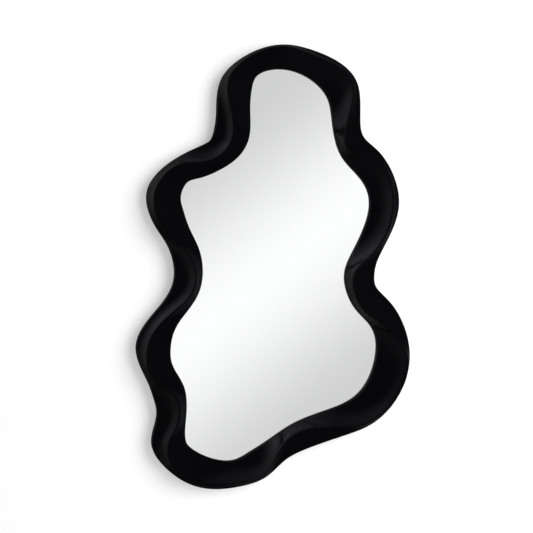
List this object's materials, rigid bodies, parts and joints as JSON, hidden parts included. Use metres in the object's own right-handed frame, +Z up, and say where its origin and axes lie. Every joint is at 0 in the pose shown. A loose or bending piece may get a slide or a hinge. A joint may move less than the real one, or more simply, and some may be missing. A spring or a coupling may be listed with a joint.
{
  "type": "wall mirror",
  "caption": "Irregular wavy wall mirror: a carved black lobed frame with a winding rounded crest round a flat silvered glass, hung by folding rings.",
  "frame": {"origin": "on the wall plane, midway between the seats of the two hanging rings, where the wall's hooks bear", "axes": "+X to the viewer's right, +Z up, +Y into the wall, so the glass faces -Y"},
  "size_m": [0.6195, 0.0444, 0.9895],
  "materials": {
    "black_lacquer": "satin black lacquer over sealed hardwood",
    "dowel_wood": "fluted beech, glued",
    "clear_glass": "clear float glass, polished",
    "silver": "silver with protective paint behind it",
    "felt": "black felt",
    "setting_plastic": "plain moulded plastic",
    "foam": "closed-cell polyethylene foam",
    "fibreboard": "bare brown fibreboard",
    "zinc_steel": "bright zinc plated",
    "nickel_steel": "nickel plated",
    "pad_rubber": "matt black rubber"
  },
  "bodies": {
    "root": {"frame_top_arch": "black_lacquer", "frame_upper_right": "black_lacquer", "frame_lower_right": "black_lacquer", "frame_bottom": "black_lacquer", "frame_lower_left": "black_lacquer", "frame_upper_left": "black_lacquer", "joint_dowels": "dowel_wood", "mirror_glass": "clear_glass", "silver_coating": "silver", "felt_gasket": "felt", "setting_blocks": "setting_plastic", "foam_sheet": "foam", "backing_board": "fibreboard", "backing_screws": "zinc_steel", "hanger_strap_left": "nickel_steel", "hanger_strap_right": "nickel_steel", "hanger_screws": "zinc_steel", "bumper_pads": "pad_rubber"},
    "ring_left": {"hanger_ring_left": "nickel_steel"},
    "ring_right": {"hanger_ring_right": "nickel_steel"}
  },
  "joints": [
    {"name": "ring_left_hinge", "type": "hinge", "parent": "root", "child": "ring_left", "pos_m": [-0.259, -0.00335, -0.012], "axis": [-1, 0, 0], "range_deg": [0, 171]},
    {"name": "ring_right_hinge", "type": "hinge", "parent": "root", "child": "ring_right", "pos_m": [0.259, -0.00335, -0.012], "axis": [-1, 0, 0], "range_deg": [0, 171]}
  ]
}
